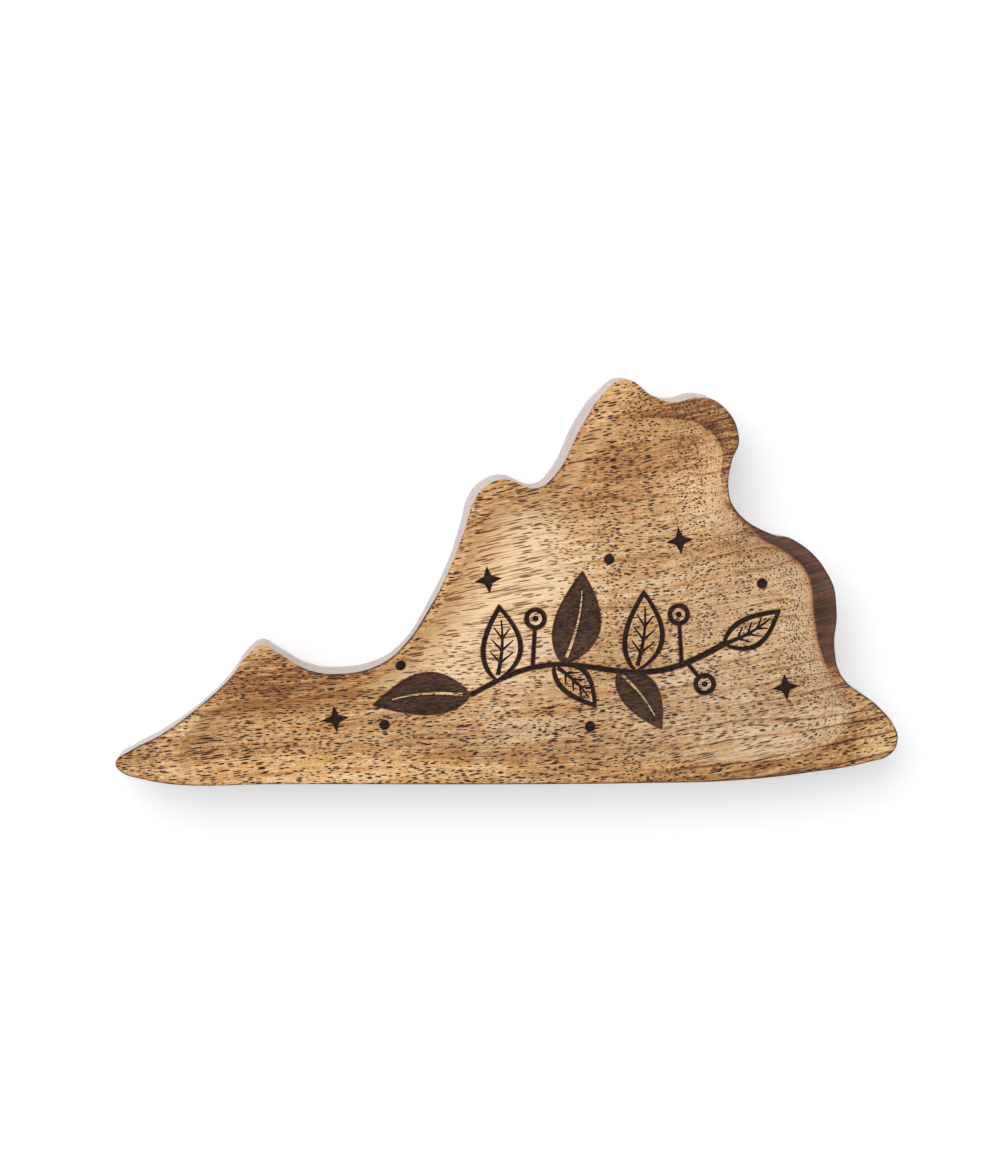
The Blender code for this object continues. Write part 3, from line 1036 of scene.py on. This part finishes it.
def rim_heart(figure, colour):
    """Add the dark heartwood, a thin layer left only on the rim's east side, and its fringe."""
    finish = figure.finish
    grain = figure.grain
    ragged = (figure.bands - 0.5) * HEART_RAGGED
    north_part = finish.rise(grain.x + grain.y + ragged, *HEART_NORTH_SIDE)
    south_part = finish.rise(grain.x, *HEART_SOUTH_SIDE)
    side = north_part.or_more(south_part) * (1.0 - finish.rise(grain.y, *HEART_NORTH_END))
    fringe = side * finish.rise(grain.y + ragged, *FRINGE_SOUTH_END)
    fringe = fringe * (1.0 - finish.rise(figure.reach + ragged * FRINGE_RAGGED, *FRINGE_INNER))
    colour = finish.blend(fringe * FRINGE_SHARE, colour, HEART_FRINGE)
    heart = side * finish.rise(grain.y + ragged, *HEART_SOUTH_END)
    heart = heart * (1.0 - finish.rise(figure.reach, *HEART_INNER))
    pale_run = figure.run + (figure.threads - 0.5) * HEART_PALE_SWAY
    pale_side = 1.0 - finish.rise(pale_run, *HEART_PALE_RUN)
    lines = figure.threads + (figure.bands - 0.5) * HEART_LINE_SWAY
    pale_lines = finish.rise(lines, *HEART_LINE_FADE)
    pale = pale_side * HEART_PALE_SHARE + pale_lines * HEART_LINE_SHARE
    return finish.blend(heart * HEART_SHARE, colour, finish.blend(pale, HEART_DARK, HEART_PALE))


# The dark line round the top, by its run from the outer edge, and the corners where it is left out.
LINE_START = (-0.12, 0.1)
LINE_END = (0.3, 0.8)
LINE_SPECKS = (0.2, 0.55)
SPECK_SIZES = (1.6, 0.7, 0.7)
LINE_GAP_SHAPE = ((7.0, 7.0), 0.4, 0.0)
LINE_GAP_CORNERS = ((-40.0, -10.5), (-3.0, 16.0), (-7.5, 6.0), (18.5, 32.0), (11.0, 25.0), (29.0, 29.5))

# The walls, painted pale as glare and paler towards the foot as painted bounce light from the floor, from
# just under the top edge to just above the foot, and their tan layers.
GLARE_TOP = (-0.3, -0.08)
GLARE_FOOT = (1.0, 1.5)
GLARE_RAGGED = 0.3
WALL_BOUNCE_FADE = (8.0, 12.0)
LAYER_SIZES = (9.0, 3.0, 0.4)
LAYER_FADE = (0.46, 0.68)
WALL_FIBRE_FADE = (0.5, 0.7)
LAYER_TAN = 0.5
FIBRE_TAN = 0.14
BAND_TAN = 0.24
VALLEY_TAN = 0.13


def edge_line(figure, colour, speck):
    """Add the dark line round the top, which is speckled, and left out at some corners."""
    finish = figure.finish
    line_gaps = 0.0
    for centre in LINE_GAP_CORNERS:
        line_gaps = line_gaps + figure.patch(centre, *LINE_GAP_SHAPE)
    line = finish.rise(figure.run, *LINE_START) * (1.0 - finish.rise(figure.run, *LINE_END))
    line = line * finish.rise(speck, *LINE_SPECKS) * (1.0 - line_gaps)
    return finish.blend(line, colour, EDGE_BROWN)


def outer_walls(figure, colour):
    """Add the top's dark line and the walls' painted glare, and give the walls' share too."""
    finish = figure.finish
    grain = figure.grain
    speck = finish.noise(grain.stretched(*SPECK_SIZES), 2.0)
    colour = edge_line(figure, colour, speck)
    ragged_run = figure.run + (speck - 0.5) * GLARE_RAGGED
    # On the walls the oiled colour gives way to a painted glare.
    off_walls = finish.rise(ragged_run, *GLARE_TOP) * finish.rise(grain.z, *GLARE_FOOT)
    glare_walls = 1.0 - off_walls
    # Painted glare, lighter towards the foot as painted bounce light from the floor.
    wall_glare_colour = finish.blend(finish.rise(TOP - grain.z, *WALL_BOUNCE_FADE), WALL_GLARE_HIGH, WALL_GLARE_AND_BOUNCE)
    along, across, up = LAYER_SIZES
    vector = finish.join(grain.along / along, grain.across / across, grain.z / up)
    layers = finish.rise(finish.noise(vector, 3.0, 0.6), *LAYER_FADE)
    tan = layers * LAYER_TAN + finish.rise(figure.fibres, *WALL_FIBRE_FADE) * FIBRE_TAN
    tan = tan + figure.bands * BAND_TAN + figure.patch(*VALLEY_WALL) * VALLEY_TAN
    wall_glare_colour = finish.shade(tan, wall_glare_colour, WALL_STREAK)
    return finish.blend(glare_walls, colour, wall_glare_colour), glare_walls


def oiled_wood():
    """Make the dish's oiled hardwood, with pores, figure, a dark heart streak and walls painted pale with
    glare.
    """
    finish = Finish("oiled_wood")
    figure = Figure(Grain(finish))
    colour = finish.node("ShaderNodeValToRGB", {"stops": TONES}, {0: wood_tone(figure)})
    pores, pore_colour = open_pores(figure)
    colour = finish.blend(pores, tinted(figure, colour), pore_colour)
    colour, glare_walls = outer_walls(figure, rim_heart(figure, colour))
    height = figure.fibres * FIBRE_HEIGHT + figure.bands * BAND_HEIGHT - pores * (1.0 - glare_walls)
    feed(finish.shader.inputs["Base Color"], colour)
    roughness = OILED_ROUGHNESS + figure.fibres * FIBRE_ROUGHNESS + pores * PORE_ROUGHNESS
    feed(finish.shader.inputs["Roughness"], roughness + glare_walls * WALL_ROUGHNESS)
    feed(finish.shader.inputs["Normal"], finish.relief(height, RELIEF_STRENGTH, PORE_RELIEF))
    finish.shader.inputs["Specular IOR Level"].default_value = OILED_GLOSS
    return finish.material


# How the burnt wood's fibres, blotches, specks and pores show.
BURNT_FADE = (0.3, 0.72)
BLOTCH_SHARE = 0.5
BURNT_SPECK_FADE = (0.62, 0.75)
BURNT_SPECK_SHARE = 0.35
BURNT_PORE_SHARE = 0.6


def burnt_fibres(grain):
    """Give the fine fibres that show in the burnt wood."""
    return grain.finish.noise(grain.stretched(*BURNT_FIBRE_SIZES), 3.0, 0.65)


def seared_wood():
    """Make the narrow toasted fringe round the burnt lines."""
    finish = Finish("seared_fringe")
    grain = Grain(finish)
    fibres = burnt_fibres(grain)
    colour = finish.shade(fibres, SEAR_BROWN, SEAR_PALE)
    colour = finish.blend(pore_marks(grain, *COARSE_PORES), colour, PORE_BROWN)
    feed(finish.shader.inputs["Base Color"], colour)
    feed(finish.shader.inputs["Roughness"], SEARED_ROUGHNESS + fibres * BURNT_FIBRE_ROUGHNESS)
    finish.shader.inputs["Specular IOR Level"].default_value = BURNT_GLOSS
    return finish.material


def burnt_wood(name, light, dark):
    """Make wood that a hot beam has burnt, line by line."""
    finish = Finish(name)
    grain = Grain(finish)
    fibres = burnt_fibres(grain)
    blotches = finish.noise(grain.stretched(*BLOTCH_SIZES), 2.0)
    specks = finish.noise(grain.stretched(*BURNT_SPECK_SIZES), 2.0)
    specks = finish.rise(specks, *BURNT_SPECK_FADE)
    pores = pore_marks(grain, *COARSE_PORES)
    share = finish.rise(fibres + (blotches - 0.5) * BLOTCH_SHARE, *BURNT_FADE)
    colour = finish.blend(share, dark, light)
    colour = finish.blend(specks * BURNT_SPECK_SHARE, colour, BURNT_SPECK)
    colour = finish.blend(pores * BURNT_PORE_SHARE, colour, BURNT_PORE)
    feed(finish.shader.inputs["Base Color"], colour)
    feed(finish.shader.inputs["Roughness"], BURNT_ROUGHNESS + fibres * BURNT_FIBRE_ROUGHNESS)
    feed(finish.shader.inputs["Normal"], finish.relief(fibres - pores, BURNT_RELIEF_STRENGTH, BURNT_RELIEF))
    finish.shader.inputs["Specular IOR Level"].default_value = BURNT_GLOSS
    return finish.material


def add_dish():
    """Make the dish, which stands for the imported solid."""
    dish = bpy.data.objects.new("carved_dish", dish_mesh())
    bpy.context.scene.collection.objects.link(dish)
    dish.data.materials.append(oiled_wood())
    dish.data.materials.append(burnt_wood("charred_lines", CHAR_LIGHT, CHAR_DARK))
    dish.data.materials.append(burnt_wood("scorched_leaves", SCORCH_LIGHT, SCORCH_DARK))
    dish.data.materials.append(seared_wood())
    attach(dish, "root")
    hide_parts("dish_body")


# The studio

FLOOR_SIZE = 3.0
FLOOR_GAP = 0.00005
FLOOR_GLOW = 0.12
FLOOR_ROUGHNESS = 0.9
WHITE = paint(255, 255, 255)
BLACK = paint(0, 0, 0)
FLOOR_WHITE = paint(248, 250, 251)
KEY_SHARE = 0.34
SKY_SHARE = 0.68
KEY_DIRECTION = (-0.4, 0.5, 1.0)
KEY_WIDTH = 50.0

# The camera, in millimetres in the dish's frame, as the photograph was taken.
IMAGE_HEIGHT = 1150
CAMERA_PLACE = (-38.45, 51.92, TOP + 647.0)
CAMERA_AIM = (-1.5, 1.3, TOP)
FOCAL_PIXELS = 4029.4
SENSOR_WIDTH = 36.0
NEAREST_SEEN = 0.01


def add_floor():
    """Lay a white floor, which takes the dish's shadow and is bright enough to fade to white."""
    side = FLOOR_SIZE / 2.0
    mesh = bpy.data.meshes.new("studio_floor")
    corners = [(-side, -side, 0.0), (side, -side, 0.0), (side, side, 0.0), (-side, side, 0.0)]
    mesh.from_pydata(corners, [], [(0, 1, 2, 3)])
    floor = bpy.data.objects.new("studio_floor", mesh)
    floor.location.z = -FLOOR_GAP
    bpy.context.scene.collection.objects.link(floor)
    finish = Finish("white_floor")
    feed(finish.shader.inputs["Base Color"], FLOOR_WHITE)
    feed(finish.shader.inputs["Roughness"], FLOOR_ROUGHNESS)
    finish.shader.inputs["Specular IOR Level"].default_value = 0.0
    seen = finish.node("ShaderNodeLightPath", {}, {}, "Is Camera Ray")
    feed(finish.shader.inputs["Emission Color"], finish.blend(seen, BLACK, WHITE))
    finish.shader.inputs["Emission Strength"].default_value = FLOOR_GLOW
    mesh.materials.append(finish.material)


def add_light():
    """Light the dish with an even white sky and a soft key from the upper left."""
    world = bpy.data.worlds.new("studio_sky")
    world.use_nodes = True
    sky = world.node_tree.nodes["Background"]
    sky.inputs["Color"].default_value = WHITE
    sky.inputs["Strength"].default_value = SKY_SHARE
    bpy.context.scene.world = world
    key = bpy.data.lights.new("key_light", "SUN")
    direction = Vector(KEY_DIRECTION).normalized()
    key.energy = KEY_SHARE * np.pi / direction.z
    key.angle = np.radians(KEY_WIDTH)
    holder = bpy.data.objects.new("key_light", key)
    holder.rotation_mode = "QUATERNION"
    holder.rotation_quaternion = Vector((0.0, 0.0, 1.0)).rotation_difference(direction)
    bpy.context.scene.collection.objects.link(holder)


def add_camera():
    """Set up the camera."""
    camera = bpy.data.cameras.new("camera")
    camera.sensor_width = SENSOR_WIDTH
    camera.lens = FOCAL_PIXELS / IMAGE_HEIGHT * SENSOR_WIDTH
    camera.clip_start = NEAREST_SEEN
    holder = bpy.data.objects.new("camera", camera)
    holder.location = Vector(CAMERA_PLACE) * MM
    looking = Vector(CAMERA_AIM) - Vector(CAMERA_PLACE)
    holder.rotation_mode = "QUATERNION"
    holder.rotation_quaternion = Vector((0.0, 0.0, -1.0)).rotation_difference(looking)
    bpy.context.scene.collection.objects.link(holder)
    bpy.context.scene.camera = holder


add_dish()
add_floor()
add_light()
add_camera()
bpy.context.scene.view_settings.view_transform = "Standard"
